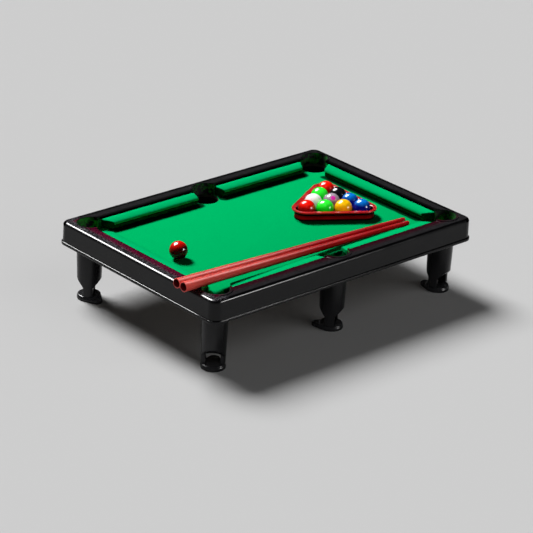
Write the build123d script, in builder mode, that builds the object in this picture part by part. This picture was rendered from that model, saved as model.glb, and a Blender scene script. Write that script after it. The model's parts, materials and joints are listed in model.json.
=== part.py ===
"""Mini pool table: a moulded toy table on six legs, with a felt bed, racked balls, a cue ball and cues.

The frame is +Z up. The origin is on the floor, below the middle of the table.
+X runs along the long side, and +Y points to the back. All sizes are in millimetres.
"""
import os
from math import atan2, cos, degrees, radians, sin, sqrt

from build123d import *

# Driving dimensions of the table
LENGTH = 300.0            # outside of the rails, along X
WIDTH = 207.0             # outside of the rails, along Y
HEIGHT = 71.0             # floor to the top of the rails
APRON = 20.8              # height of the side walls
RAIL = 15.5               # width of the rail tops
BED_DROP = 10.0           # top of the rails down to the playing surface
CORNER_R = 8.0            # outside corners in plan

# Frame moulding
WALL = 2.2                # side walls and deck
INNER_WALL = 2.0          # wall behind the cushions
EDGE_R = 3.0              # rounded upper edge
DRAFT = 1.3               # degrees that the side walls lean out
LIP = 1.1                 # how far the bead along the bottom edge stands out
LIP_HEIGHT = 3.0
LIP_ROUND = 0.9
INNER_EDGE_R = 1.2        # rounded edge above the cushions
BOSS_R = 3.2              # bosses that take the screws of the bed
BOSS_END = 1.5            # solid end of a boss, below the deck

# Bed
BOARD = 2.5
FELT = 0.6
BOARD_FIT = 0.3           # board to the side walls
FELT_FIT = 0.1            # felt to the wall behind the cushions

# Cushions
CUSHION = 11.2            # rail to nose
CUSHION_TOP = 1.4         # how far the back of the cushion lies below the rail top
NOSE_TOP = 2.6            # how far the nose lies below the rail top
NOSE = 1.9                # height of the nose face
UNDERCUT = 2.6            # how far the foot of the cushion stands back from its nose
MOUTH_BACK = 12.4         # half gap at a middle pocket, at the rail
MOUTH_NOSE = 15.0         # half gap at a middle pocket, at the nose
SIDE_END_BACK = 117.0     # end of a side cushion at a corner pocket, at the rail
SIDE_END_NOSE = 111.0
END_BACK = 72.0           # half length of an end cushion, at the rail
END_NOSE = 65.5
FAR_TRIM = 4.0            # how much shorter an end cushion is at its far end

# Pockets, with a leg under each one
POCKET_R = 12.0
POCKET_X = 132.0          # corner pockets
POCKET_Y = 84.0
MIDDLE_Y = 85.5           # middle pockets
COLLAR = 2.5              # width of the raised rim around a pocket
COLLAR_RISE = 0.6
COLLAR_SLOPE = 45.0
CUP_WALL = 1.3
CUP_CLEARANCE = 0.3       # the cup is this much wider than the hole in the bed
FLANGE = 1.6
EAR_REACH = 18.0          # pocket centre to a screw in the flange
EAR_R = 3.4
SPIGOT_R = 9.1            # plug under each cup that the leg is pushed onto
SPIGOT_BORE = 7.2
SPIGOT_LENGTH = 9.5

# Legs
LEG_TOP_R = 11.6
LEG_FOOT_R = 10.4
LEG_BORE = 9.2
LEG_FLOOR = 21.0          # bottom of the socket
SHOULDER_Z = 19.5         # where the sides start to draw in
NECK_Z = 13.0
NECK = 4.4                # half depth of the two posts
WINDOW = 6.2              # half width of the gap between the posts
WINDOW_SIDE = 14.0        # height of the gap at its sides
WINDOW_TOP = 15.5
FRONT_LEG_TURN = 36.0     # the legs are pushed on by hand, so these two sit turned
RIGHT_LEG_TURN = -32.0

# Feet: a pear-shaped plate with a round boss, on which the two posts of a leg stand
FOOT_R = 10.8             # plate around the leg
TOE_R = 5.0               # its narrow end, which points inwards
TOE_REACH = 11.8
FOOT_THICK = 3.0
FOOT_BOSS_R = 10.2
FOOT_TOP = 4.4            # top of the boss
FOOT_ROUND = 1.0
FOOT_BOSS_ROUND = 0.5
BACK_FOOT_TURN = -47.0    # one foot sits turned on its leg

# Screws
BED_SCREW_R = 1.2
BED_SCREW_HEAD_R = 2.6
BED_SCREW_HEAD = 1.7
CUP_SCREW_R = 0.9
CUP_SCREW_HEAD_R = 2.0
CUP_SCREW_HEAD = 1.3
SCREW_FIT = 0.1           # clearance around a screw
SIDE_BOSS_X = (45.0, 95.0)
END_BOSS_Y = 38.0

# Balls and rack
BALL_R = 8.0
BALL_PITCH = 16.6
REST_GAP = 0.15           # loose pieces stand this far off the felt
RACK_CORNER = (46.45, 1.38)    # centre of the ball in the rack's left corner
RACK_TURN = -32.85             # direction of the rack's front side, degrees
RACK_FIT = 0.95                # balls to the inside of the rack's sides
RACK_CORNER_R = 7.6            # inside corners
RACK_WALL = 1.15
RACK_RIM = 3.1
RACK_RIM_R = 13.0              # outside corners of the rim
RACK_RIM_THICK = 1.5
RACK_HEIGHT = 9.0
RACK_ROWS = 4
CUE_BALL = (-104.3, -2.4)

# Cues
CUE_BUTT_R = 4.2
CUE_TIP_R = 2.1
CUE_WALL = 0.8
CUE_BORE_END = 0.86       # how far up the cue the bore goes, as a share of its length
CUE_GAP = 0.3             # cue to the rail and to the felt
CUE_BUTT_X = -160.0
CUE_ENDS = {
    "cue_near": (-75.6, (108.6, -65.2)),    # Y of the butt, then X and Y of the tip
    "cue_far": (-66.8, (110.9, -57.7)),
}

# Heights that follow from these
APRON_Z = HEIGHT - APRON
BED_Z = HEIGHT - BED_DROP
BOARD_TOP = BED_Z - FELT
BOARD_Z = BOARD_TOP - BOARD
DECK_Z = HEIGHT - WALL
BED_X = LENGTH / 2 - RAIL
BED_Y = WIDTH / 2 - RAIL
CUP_R = POCKET_R + CUP_CLEARANCE
CUP_Z = APRON_Z + 0.3

POCKETS = {
    "back_left": (-POCKET_X, POCKET_Y),
    "back_middle": (0.0, MIDDLE_Y),
    "back_right": (POCKET_X, POCKET_Y),
    "front_left": (-POCKET_X, -POCKET_Y),
    "front_middle": (0.0, -MIDDLE_Y),
    "front_right": (POCKET_X, -POCKET_Y),
}
LEG_FACING = {            # direction that each leg faces, degrees from +X
    "back_left": 135.0,
    "back_middle": 90.0,
    "back_right": 45.0,
    "front_left": -135.0,
    "front_middle": -90.0 + FRONT_LEG_TURN,
    "front_right": -45.0 + RIGHT_LEG_TURN,
}
FOOT_FACING = dict(LEG_FACING, back_left=LEG_FACING["back_left"] + BACK_FOOT_TURN)
RAIL_MID_Y = BED_Y + RAIL / 2
RAIL_MID_X = BED_X + RAIL / 2
BED_SCREWS = [(sx * x, sy * RAIL_MID_Y) for x in SIDE_BOSS_X for sx in (-1, 1) for sy in (-1, 1)]
BED_SCREWS += [(sx * RAIL_MID_X, sy * END_BOSS_Y) for sx in (-1, 1) for sy in (-1, 1)]


def ear_spots(x, y):
    """Screw places of the cup at a pocket: along the rails, on the sides that face other pockets."""
    if x == 0:
        return [(-EAR_REACH, y), (EAR_REACH, y)]
    step_x = EAR_REACH if x < 0 else -EAR_REACH
    step_y = EAR_REACH if y < 0 else -EAR_REACH
    return [(x + step_x, y), (x, y + step_y)]


CUP_SCREWS = [spot for x, y in POCKETS.values() for spot in ear_spots(x, y)]

os.makedirs("parts", exist_ok=True)


def write(part, name):
    """Label a finished piece and write it under its node's name."""
    part.label = name
    export_step(part, f"parts/{name}.step")


# Frame: a hollow moulding, open below, with a wall behind the cushions and a collar at each pocket
def inner_edge(edge):
    """True for an edge of the hole for the bed."""
    spot = edge.center()
    return abs(spot.X) < BED_X + 0.1 and abs(spot.Y) < BED_Y + 0.1


def outer_edge(edge):
    """True for an edge of the bead's outside face, above or below."""
    box = edge.bounding_box()
    reach_x = max(abs(box.min.X), abs(box.max.X)) - (LENGTH / 2 + flare)
    reach_y = max(abs(box.min.Y), abs(box.max.Y)) - (WIDTH / 2 + flare)
    level = box.max.Z - box.min.Z < 0.01 and box.max.Z < APRON_Z + LIP_HEIGHT + 0.01
    return level and max(reach_x, reach_y) > LIP - 0.01


flare = APRON * sin(radians(DRAFT))
inside = (LENGTH - 2 * WALL, WIDTH - 2 * WALL)
bead_reach = 2 * (flare + LIP)
with BuildPart() as frame_shell:
    with BuildSketch(Plane.XY.offset(APRON_Z)):
        RectangleRounded(LENGTH + 2 * flare, WIDTH + 2 * flare, CORNER_R)
    extrude(amount=APRON, taper=DRAFT)
    top_face = frame_shell.faces().sort_by(Axis.Z)[-1]
    fillet(top_face.edges(), radius=EDGE_R)
    with BuildSketch(Plane.XY.offset(HEIGHT)):
        Rectangle(2 * BED_X, 2 * BED_Y)
    extrude(amount=-WALL, mode=Mode.SUBTRACT)
    top_edges = frame_shell.edges().group_by(Axis.Z)[-1]
    fillet(top_edges.filter_by(GeomType.LINE).filter_by(inner_edge), radius=INNER_EDGE_R)
    with BuildSketch(Plane.XY.offset(APRON_Z)):
        RectangleRounded(LENGTH + bead_reach, WIDTH + bead_reach, CORNER_R + LIP)
    extrude(amount=LIP_HEIGHT)
    bead_edges = frame_shell.edges().filter_by(outer_edge)
    fillet(bead_edges, radius=LIP_ROUND)
    with BuildSketch(Plane.XY.offset(APRON_Z)):
        RectangleRounded(*inside, CORNER_R - WALL)
    extrude(amount=BOARD_TOP - APRON_Z, mode=Mode.SUBTRACT)
    with BuildSketch(Plane.XY.offset(BOARD_TOP)):
        RectangleRounded(*inside, CORNER_R - WALL)
        Rectangle(2 * (BED_X + INNER_WALL), 2 * (BED_Y + INNER_WALL), mode=Mode.SUBTRACT)
    extrude(amount=DECK_Z - BOARD_TOP, mode=Mode.SUBTRACT)
    with BuildSketch(Plane.XY.offset(BOARD_TOP)):
        with Locations(*BED_SCREWS):
            Circle(BOSS_R)
    extrude(amount=DECK_Z - BOARD_TOP)
    with BuildSketch(Plane.XY.offset(BOARD_TOP)):
        with Locations(*POCKETS.values()):
            Circle(POCKET_R + INNER_WALL)
    extrude(amount=DECK_Z - BOARD_TOP)
    with BuildSketch(Plane.XY.offset(DECK_Z)):
        with Locations(*POCKETS.values()):
            Circle(POCKET_R + COLLAR)
    extrude(amount=HEIGHT - DECK_Z)
    with BuildSketch(Plane.XY.offset(HEIGHT)):
        with Locations(*POCKETS.values()):
            Circle(POCKET_R + COLLAR)
    extrude(amount=COLLAR_RISE, taper=COLLAR_SLOPE)
    with BuildSketch(Plane.XY.offset(BOARD_TOP)):
        Rectangle(2 * BED_X, 2 * BED_Y)
        with Locations(*POCKETS.values()):
            Circle(POCKET_R)
    extrude(amount=APRON, mode=Mode.SUBTRACT)
    with BuildSketch(Plane.XY.offset(BOARD_TOP)):
        with Locations(*BED_SCREWS):
            Circle(BED_SCREW_R + SCREW_FIT)
    extrude(amount=DECK_Z - BOARD_TOP - BOSS_END, mode=Mode.SUBTRACT)
write(frame_shell.part, "frame_shell")

# Bed: a board screwed up against the wall behind the cushions, with felt on it
with BuildPart() as bed_board:
    with BuildSketch(Plane.XY.offset(BOARD_Z)):
        board_size = [side - 2 * BOARD_FIT for side in inside]
        RectangleRounded(*board_size, CORNER_R - WALL - BOARD_FIT)
        with Locations(*POCKETS.values()):
            Circle(POCKET_R, mode=Mode.SUBTRACT)
        with Locations(*BED_SCREWS):
            Circle(BED_SCREW_R + SCREW_FIT, mode=Mode.SUBTRACT)
        with Locations(*CUP_SCREWS):
            Circle(CUP_SCREW_R + SCREW_FIT, mode=Mode.SUBTRACT)
    extrude(amount=BOARD)
write(bed_board.part, "bed_board")

with BuildPart() as bed_felt:
    with BuildSketch(Plane.XY.offset(BOARD_TOP)):
        Rectangle(2 * (BED_X - FELT_FIT), 2 * (BED_Y - FELT_FIT))
        with Locations(*POCKETS.values()):
            Circle(POCKET_R, mode=Mode.SUBTRACT)
    extrude(amount=FELT)
write(bed_felt.part, "bed_felt")


# Cushions: a sloped top, a thin nose and an undercut foot, with slanted ends at the pockets
def cushion(name, rail_plane, back, nose):
    """One cushion. The plane has X along the rail and Y towards the bed; back and nose are ranges in X."""
    reach = max(abs(end) for end in back)
    profile_plane = Plane(
        origin=rail_plane.origin - rail_plane.x_dir * reach,
        x_dir=rail_plane.y_dir,
        z_dir=rail_plane.x_dir,
    )
    with BuildPart() as bar:
        with BuildSketch(profile_plane):
            with BuildLine():
                Polyline(
                    (0, BED_Z),
                    (CUSHION - UNDERCUT, BED_Z),
                    (CUSHION, HEIGHT - NOSE_TOP - NOSE),
                    (CUSHION, HEIGHT - NOSE_TOP),
                    (0, HEIGHT - CUSHION_TOP),
                    close=True,
                )
            make_face()
        extrude(amount=2 * reach)
        with BuildSketch(rail_plane):
            with BuildLine():
                Polyline((back[0], 0), (back[1], 0), (nose[1], CUSHION), (nose[0], CUSHION), close=True)
            make_face()
        extrude(amount=HEIGHT, mode=Mode.INTERSECT)
    write(bar.part, name)


RIGHTWARD = Vector(1, 0, 0)
BACKWARD = Vector(0, 1, 0)
UP = Vector(0, 0, 1)
far_rail = Plane(origin=(0, BED_Y, 0), x_dir=-RIGHTWARD, z_dir=UP)
near_rail = Plane(origin=(0, -BED_Y, 0), x_dir=RIGHTWARD, z_dir=UP)
left_rail = Plane(origin=(-BED_X, 0, 0), x_dir=-BACKWARD, z_dir=UP)
right_rail = Plane(origin=(BED_X, 0, 0), x_dir=BACKWARD, z_dir=UP)
lower_half = ((-SIDE_END_BACK, -MOUTH_BACK), (-SIDE_END_NOSE, -MOUTH_NOSE))
upper_half = ((MOUTH_BACK, SIDE_END_BACK), (MOUTH_NOSE, SIDE_END_NOSE))
left_span = ((FAR_TRIM - END_BACK, END_BACK), (FAR_TRIM - END_NOSE, END_NOSE))
right_span = ((-END_BACK, END_BACK - FAR_TRIM), (-END_NOSE, END_NOSE - FAR_TRIM))
cushion("cushion_back_right", far_rail, *lower_half)
cushion("cushion_back_left", far_rail, *upper_half)
cushion("cushion_front_left", near_rail, *lower_half)
cushion("cushion_front_right", near_rail, *upper_half)
cushion("cushion_left_end", left_rail, *left_span)
cushion("cushion_right_end", right_rail, *right_span)


# Pocket cups: screwed under the board, each with a spigot for its leg
def pocket_cup(name, x, y):
    """A closed cup with a flange, two screw ears and a hollow spigot below."""
    flange_z = BOARD_Z - FLANGE
    with BuildPart() as cup:
        with BuildSketch(Plane.XY.offset(flange_z)):
            with Locations((x, y)):
                Circle(CUP_R + CUP_WALL + 1.0)
            for ear_x, ear_y in ear_spots(x, y):
                with Locations((ear_x, ear_y)):
                    Circle(EAR_R)
                with Locations(((x + ear_x) / 2, (y + ear_y) / 2)):
                    Rectangle(
                        max(abs(x - ear_x), 2 * EAR_R),
                        max(abs(y - ear_y), 2 * EAR_R),
                    )
        extrude(amount=FLANGE)
        with BuildSketch(Plane.XY.offset(CUP_Z)):
            with Locations((x, y)):
                Circle(CUP_R + CUP_WALL)
        extrude(amount=flange_z - CUP_Z)
        with BuildSketch(Plane.XY.offset(CUP_Z - SPIGOT_LENGTH)):
            with Locations((x, y)):
                Circle(SPIGOT_R)
                Circle(SPIGOT_BORE, mode=Mode.SUBTRACT)
        extrude(amount=SPIGOT_LENGTH)
        with BuildSketch(Plane.XY.offset(CUP_Z + CUP_WALL)):
            with Locations((x, y)):
                Circle(CUP_R)
        extrude(amount=APRON, mode=Mode.SUBTRACT)
        with BuildSketch(Plane.XY.offset(flange_z)):
            with Locations(*ear_spots(x, y)):
                Circle(CUP_SCREW_R + SCREW_FIT)
        extrude(amount=FLANGE, mode=Mode.SUBTRACT)
    write(cup.part, name)


for place, (pocket_x, pocket_y) in POCKETS.items():
    pocket_cup(f"pocket_cup_{place}", pocket_x, pocket_y)


# Legs: a hollow round block, drawn in to two posts
def leg(name, x, y, facing):
    """One leg. Its own X points the way it faces, and its Y runs from post to post."""
    outward = Vector(cos(radians(facing)), sin(radians(facing)), 0)
    base = Plane(origin=(x, y, 0), x_dir=outward, z_dir=(0, 0, 1))
    side = Plane(origin=base.origin, x_dir=base.x_dir, z_dir=-base.y_dir)
    front = Plane(origin=base.origin, x_dir=base.y_dir, z_dir=base.x_dir)
    with BuildPart() as post:
        with BuildSketch(base.offset(FOOT_TOP)):
            Circle(LEG_FOOT_R)
        with BuildSketch(base.offset(APRON_Z)):
            Circle(LEG_TOP_R)
        loft()
        with BuildSketch(base.offset(LEG_FLOOR)):
            Circle(LEG_BORE)
        extrude(amount=APRON_Z, mode=Mode.SUBTRACT)
        with BuildSketch(side):
            for way in (-1, 1):
                with BuildLine():
                    Polyline(
                        (way * 2 * LEG_TOP_R, 0),
                        (way * NECK, 0),
                        (way * NECK, NECK_Z),
                        (way * LEG_FOOT_R, SHOULDER_Z),
                        (way * 2 * LEG_TOP_R, SHOULDER_Z),
                        close=True,
                    )
                make_face()
        extrude(amount=2 * LEG_TOP_R, both=True, mode=Mode.SUBTRACT)
        with BuildSketch(front):
            with BuildLine():
                Line((-WINDOW, 0), (WINDOW, 0))
                Line((WINDOW, 0), (WINDOW, WINDOW_SIDE))
                ThreePointArc((WINDOW, WINDOW_SIDE), (0, WINDOW_TOP), (-WINDOW, WINDOW_SIDE))
                Line((-WINDOW, WINDOW_SIDE), (-WINDOW, 0))
            make_face()
        extrude(amount=2 * LEG_TOP_R, both=True, mode=Mode.SUBTRACT)
    write(post.part, name)


def foot(name, x, y, facing):
    """One foot, under the posts of a leg."""
    outward = Vector(cos(radians(facing)), sin(radians(facing)), 0)
    base = Plane(origin=(x, y, 0), x_dir=outward, z_dir=(0, 0, 1))
    with BuildPart() as pad:
        with BuildSketch(base):
            Circle(FOOT_R)
            with Locations((-TOE_REACH, 0)):
                Circle(TOE_R)
            make_hull()
        extrude(amount=FOOT_THICK)
        fillet(pad.edges().group_by(Axis.Z)[-1], radius=FOOT_ROUND)
        with BuildSketch(base.offset(FOOT_THICK / 2)):
            Circle(FOOT_BOSS_R)
        extrude(amount=FOOT_TOP - FOOT_THICK / 2)
        fillet(pad.edges().group_by(Axis.Z)[-1], radius=FOOT_BOSS_ROUND)
    write(pad.part, name)


for place, (pocket_x, pocket_y) in POCKETS.items():
    leg(f"leg_{place}", pocket_x, pocket_y, LEG_FACING[place])
    foot(f"foot_{place}", pocket_x, pocket_y, FOOT_FACING[place])


# Screws: one group holds the bed up to the frame, the other holds the pocket cups to the board
def screws(name, spots, head_z, head, head_r, shank, shank_r):
    """A group of equal screws, heads down."""
    with BuildPart() as group:
        with BuildSketch(Plane.XY.offset(head_z - head)):
            with Locations(*spots):
                Circle(head_r)
        extrude(amount=head)
        chamfer(group.faces().group_by(Axis.Z)[0].edges(), length=head / 3)
        with BuildSketch(Plane.XY.offset(head_z)):
            with Locations(*spots):
                Circle(shank_r)
        extrude(amount=shank)
    write(group.part, name)


screws("bed_screws", BED_SCREWS, BOARD_Z, BED_SCREW_HEAD, BED_SCREW_HEAD_R, 8.0, BED_SCREW_R)
screws("cup_screws", CUP_SCREWS, BOARD_Z - FLANGE, CUP_SCREW_HEAD, CUP_SCREW_HEAD_R, 3.6, CUP_SCREW_R)


# Rack and balls
def rack_spot(along, up):
    """Centre of a ball in the rack: `along` the front side, `up` towards the far corner."""
    front_way = radians(RACK_TURN)
    side_way = radians(RACK_TURN + 60)
    x = RACK_CORNER[0] + BALL_PITCH * (along * cos(front_way) + up * cos(side_way))
    y = RACK_CORNER[1] + BALL_PITCH * (along * sin(front_way) + up * sin(side_way))
    return x, y


rack_corners = [rack_spot(0, 0), rack_spot(RACK_ROWS - 1, 0), rack_spot(0, RACK_ROWS - 1)]
rack_inside = BALL_R + RACK_FIT


def rack_outline(z, grow, corner):
    """The triangle of ball centres at height z, grown, with rounded corners."""
    with BuildSketch(Plane.XY.offset(z)) as outline:
        with BuildLine():
            Polyline(*rack_corners, close=True)
        make_face()
        offset(amount=grow, kind=Kind.INTERSECTION)
        fillet(outline.vertices(), radius=corner)
    return outline.sketch


rack_z = BED_Z + REST_GAP
rim_z = rack_z + RACK_HEIGHT - RACK_RIM_THICK
wall_outline = rack_outline(rack_z, rack_inside + RACK_WALL, RACK_CORNER_R + RACK_WALL)
rim_outline = rack_outline(rim_z, rack_inside + RACK_WALL + RACK_RIM, RACK_RIM_R)
hollow_outline = rack_outline(rack_z, rack_inside, RACK_CORNER_R)
with BuildPart() as rack:
    extrude(wall_outline, amount=RACK_HEIGHT)
    extrude(rim_outline, amount=RACK_RIM_THICK)
    extrude(hollow_outline, amount=RACK_HEIGHT, mode=Mode.SUBTRACT)
write(rack.part, "rack")


def ball(name, x, y):
    """One ball on the felt."""
    with BuildPart() as one:
        with Locations((x, y, rack_z + BALL_R)):
            Sphere(BALL_R)
    write(one.part, name)


rack_spots = [rack_spot(along, up) for up in range(RACK_ROWS) for along in range(RACK_ROWS - up)]
for number, (ball_x, ball_y) in enumerate(rack_spots, start=1):
    ball(f"ball_{number}", ball_x, ball_y)
ball("cue_ball", *CUE_BALL)


# Cues: tapered tubes, open at the butt, that lean on the left rail with their tips on the felt
def cue(name, butt_y, tip):
    """One cue. It clears the pocket collar on the left rail, and the felt, by the same gap."""
    tip_z = BED_Z + CUE_GAP + CUE_TIP_R
    span = tip[0] - CUE_BUTT_X
    rail_share = (-BED_X - CUE_BUTT_X) / span
    rail_z = HEIGHT + COLLAR_RISE + CUE_GAP + CUE_BUTT_R + (CUE_TIP_R - CUE_BUTT_R) * rail_share
    butt_z = tip_z + (rail_z - tip_z) / (1 - rail_share)
    butt_end = Vector(CUE_BUTT_X, butt_y, butt_z)
    tip_end = Vector(tip[0], tip[1], tip_z)
    length = (tip_end - butt_end).length
    along = Plane(origin=butt_end, x_dir=(tip_end - butt_end), z_dir=BACKWARD.cross(tip_end - butt_end))
    bore_length = CUE_BORE_END * length
    bore_end_r = CUE_BUTT_R + (CUE_TIP_R - CUE_BUTT_R) * CUE_BORE_END - CUE_WALL
    with BuildPart() as stick:
        with BuildSketch(along):
            with BuildLine():
                Polyline(
                    (0, CUE_BUTT_R - CUE_WALL),
                    (0, CUE_BUTT_R),
                    (length - CUE_TIP_R / 2, CUE_TIP_R),
                    (length, CUE_TIP_R / 2),
                    (length, 0),
                    (bore_length, 0),
                    (bore_length, bore_end_r),
                    close=True,
                )
            make_face()
        revolve(axis=Axis(along.origin, along.x_dir))
    write(stick.part, name)
    rise = degrees(atan2(butt_z - tip_z, sqrt(span**2 + (tip[1] - butt_y) ** 2)))
    axis = tuple(round(value, 5) for value in along.x_dir)
    print(f"{name}: length {length:.1f}, slope {rise:.2f} degrees, axis {axis}")


for cue_name, (cue_butt_y, cue_tip) in CUE_ENDS.items():
    cue(cue_name, cue_butt_y, cue_tip)
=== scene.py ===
"""Looks of the mini pool table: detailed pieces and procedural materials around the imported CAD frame."""
import json
from math import atan2, cos, exp, pi, radians, sin, sqrt

import bmesh
import bpy
from mathutils import Matrix, Vector, noise

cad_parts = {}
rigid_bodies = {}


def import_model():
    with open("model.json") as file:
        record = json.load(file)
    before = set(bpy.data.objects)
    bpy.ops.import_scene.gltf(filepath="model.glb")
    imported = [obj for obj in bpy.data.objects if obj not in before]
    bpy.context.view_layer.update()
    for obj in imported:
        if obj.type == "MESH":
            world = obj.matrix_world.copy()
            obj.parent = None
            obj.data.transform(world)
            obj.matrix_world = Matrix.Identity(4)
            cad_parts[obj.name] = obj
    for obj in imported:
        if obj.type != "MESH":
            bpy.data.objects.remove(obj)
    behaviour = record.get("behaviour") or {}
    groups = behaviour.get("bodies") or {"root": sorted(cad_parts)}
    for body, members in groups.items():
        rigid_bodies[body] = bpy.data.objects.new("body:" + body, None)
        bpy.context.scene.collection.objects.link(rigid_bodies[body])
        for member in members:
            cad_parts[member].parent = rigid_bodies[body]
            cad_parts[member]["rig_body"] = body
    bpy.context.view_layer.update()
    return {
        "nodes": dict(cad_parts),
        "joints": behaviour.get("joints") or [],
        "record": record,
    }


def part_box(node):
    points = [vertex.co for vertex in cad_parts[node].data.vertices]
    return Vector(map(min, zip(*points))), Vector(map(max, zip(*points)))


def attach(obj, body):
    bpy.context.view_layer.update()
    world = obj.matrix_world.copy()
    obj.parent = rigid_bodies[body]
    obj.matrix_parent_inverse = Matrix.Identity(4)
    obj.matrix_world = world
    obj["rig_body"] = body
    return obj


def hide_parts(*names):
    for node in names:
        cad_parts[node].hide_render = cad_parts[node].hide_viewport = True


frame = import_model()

MM = 0.001
NODES = frame["nodes"]
PLACES = ["back_left", "back_middle", "back_right", "front_left", "front_middle", "front_right"]
BALLS = [f"ball_{number}" for number in range(1, 11)] + ["cue_ball"]
CUSHIONS = [name for name in sorted(NODES) if name.startswith("cushion_")]
UP = Vector((0, 0, 1))


def box(node):
    """A CAD node's lowest and highest corners, in millimetres."""
    low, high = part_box(node)
    return Vector(low) / MM, Vector(high) / MM


def middle(node):
    """Centre of a CAD node's box, in millimetres."""
    low, high = box(node)
    return (low + high) / 2


# Sizes below are in millimetres. They follow the frame where the frame has them.
FELT_LOW, FELT_HIGH = box("bed_felt")
FRAME_HIGH = box("frame_shell")[1]
BED_Z = FELT_HIGH.z
COLLAR_RISE = 0.6                      # how far the pocket rims stand above the rails
RAIL_Z = FRAME_HIGH.z - COLLAR_RISE
FELT_FIT = 0.1                         # felt to the rails
BED_X = FELT_HIGH.x + FELT_FIT         # inner edge of the rails
BED_Y = FELT_HIGH.y + FELT_FIT
BEAD = 1.6                             # how far the bottom bead stands out beyond the rails
RAIL = FRAME_HIGH.x - BEAD - BED_X     # width of a rail
LIP = 1.8                              # width of the rounded inner edge of a rail
POCKET_R = 12.0                        # radius of a pocket
POCKETS = {place: middle(f"leg_{place}") for place in PLACES}
CUSHION = 11.2                         # rail to nose
SIDE_NOSE = (15.0, 111.0)              # from where to where a side cushion's nose reaches, along X
END_NOSE = 61.5                        # how far the shorter half of an end cushion's nose reaches, along Y
END_SHADOW_TRIM = 2.4                    # how much narrower the painted shadow band is beside an end cushion
CORNER_SLANT = 6.2                     # how much shorter a cushion is at its nose, beside a corner pocket
MIDDLE_SLANT = 2.6                     # the same beside a middle pocket
BALL_R = 8.0
SEAM = 0.02                            # height of the mould seam around a ball
CUE_WALL = 0.8                         # wall of the hollow cue
CUE_BORE_END = 0.86                    # how far up the cue the bore goes, as a share of its length
CUE_SHEEN_SPAN = (-120.0, 0.0)           # from where to where the cues' painted sheen fades out, along X
MOULD_VOXEL = 0.5                      # mesh size of the legs and feet
LEG_PASSES = 5                         # smoothing passes that round their edges
FOOT_PASSES = 2


# ---------------------------------------------------------------- camera, lights and floor

def make_camera():
    """A long lens that looks across the front left corner of the table."""
    azimuth = radians(-42.65)
    elevation = radians(24.19)
    roll = radians(2.83)
    target = Vector((0.0385, 0.0416, 0.0))
    distance = 2.1724
    back = Vector((sin(azimuth) * cos(elevation), -cos(azimuth) * cos(elevation), sin(elevation)))
    level = UP.cross(back).normalized()
    upward = back.cross(level)
    right = level * cos(roll) + upward * sin(roll)
    up = upward * cos(roll) - level * sin(roll)
    data = bpy.data.cameras.new("camera")
    data.sensor_width = 36.0
    data.lens = 161.35
    data.clip_end = 100.0
    camera = bpy.data.objects.new("camera", data)
    turn = Matrix((right, up, back)).transposed().to_4x4()
    camera.matrix_world = Matrix.Translation(target + back * distance) @ turn
    bpy.context.scene.collection.objects.link(camera)
    bpy.context.scene.camera = camera


def make_sun(name, direction, strength, angle, diffuse=True, gloss=True):
    """A soft lamp at a great distance. direction points from the table to the lamp."""
    data = bpy.data.lights.new(name, "SUN")
    data.energy = strength
    data.angle = radians(angle)
    lamp = bpy.data.objects.new(name, data)
    lamp.rotation_euler = Vector(direction).to_track_quat("Z", "Y").to_euler()
    lamp.visible_diffuse = diffuse
    lamp.visible_glossy = gloss
    bpy.context.scene.collection.objects.link(lamp)
    return lamp


def make_panel(name, spot, direction, distance, radius, power):
    """A round lamp that faces one spot of the table and is seen only in its gloss. Metres and watts."""
    data = bpy.data.lights.new(name, "AREA")
    data.shape = "DISK"
    data.size = 2 * radius
    data.energy = power
    lamp = bpy.data.objects.new(name, data)
    away = Vector(direction).normalized()
    lamp.location = Vector(spot) + away * distance
    lamp.rotation_euler = away.to_track_quat("Z", "Y").to_euler()
    lamp.visible_diffuse = False
    lamp.visible_camera = False
    bpy.context.scene.collection.objects.link(lamp)
    return lamp


def light_only(lamp, prefixes):
    """Let a lamp reach only the objects whose names begin with one of the prefixes."""
    reached = bpy.data.collections.new(f"reached_by_{lamp.name}")
    lamp.light_linking.receiver_collection = reached
    for thing in bpy.data.objects:
        if thing.name.startswith(prefixes):
            reached.objects.link(thing)


def make_world(level):
    """An even pale surround."""
    world = bpy.data.worlds.new("studio")
    world.use_nodes = True
    background = world.node_tree.nodes["Background"]
    background.inputs["Color"].default_value = (level, level, level, 1)
    bpy.context.scene.world = world


def make_floor():
    """A wide pale floor."""
    mesh = bpy.data.meshes.new("floor")
    reach = 30.0
    corners = [(-reach, -reach, 0), (reach, -reach, 0), (reach, reach, 0), (-reach, reach, 0)]
    mesh.from_pydata(corners, [], [(0, 1, 2, 3)])
    floor = bpy.data.objects.new("floor", mesh)
    bpy.context.scene.collection.objects.link(floor)
    shade = Shader("floor_paper", (0.588, 0.588, 0.588), 0.75)
    shade.set("Specular IOR Level", 0.0)
    # The floor glows faintly and evenly: painted light that lifts its shadows.
    shade.set("Emission Color", (1, 1, 1, 1))
    shade.set("Emission Strength", 0.004)
    mesh.materials.append(shade.material)


# ---------------------------------------------------------------- materials

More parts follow.
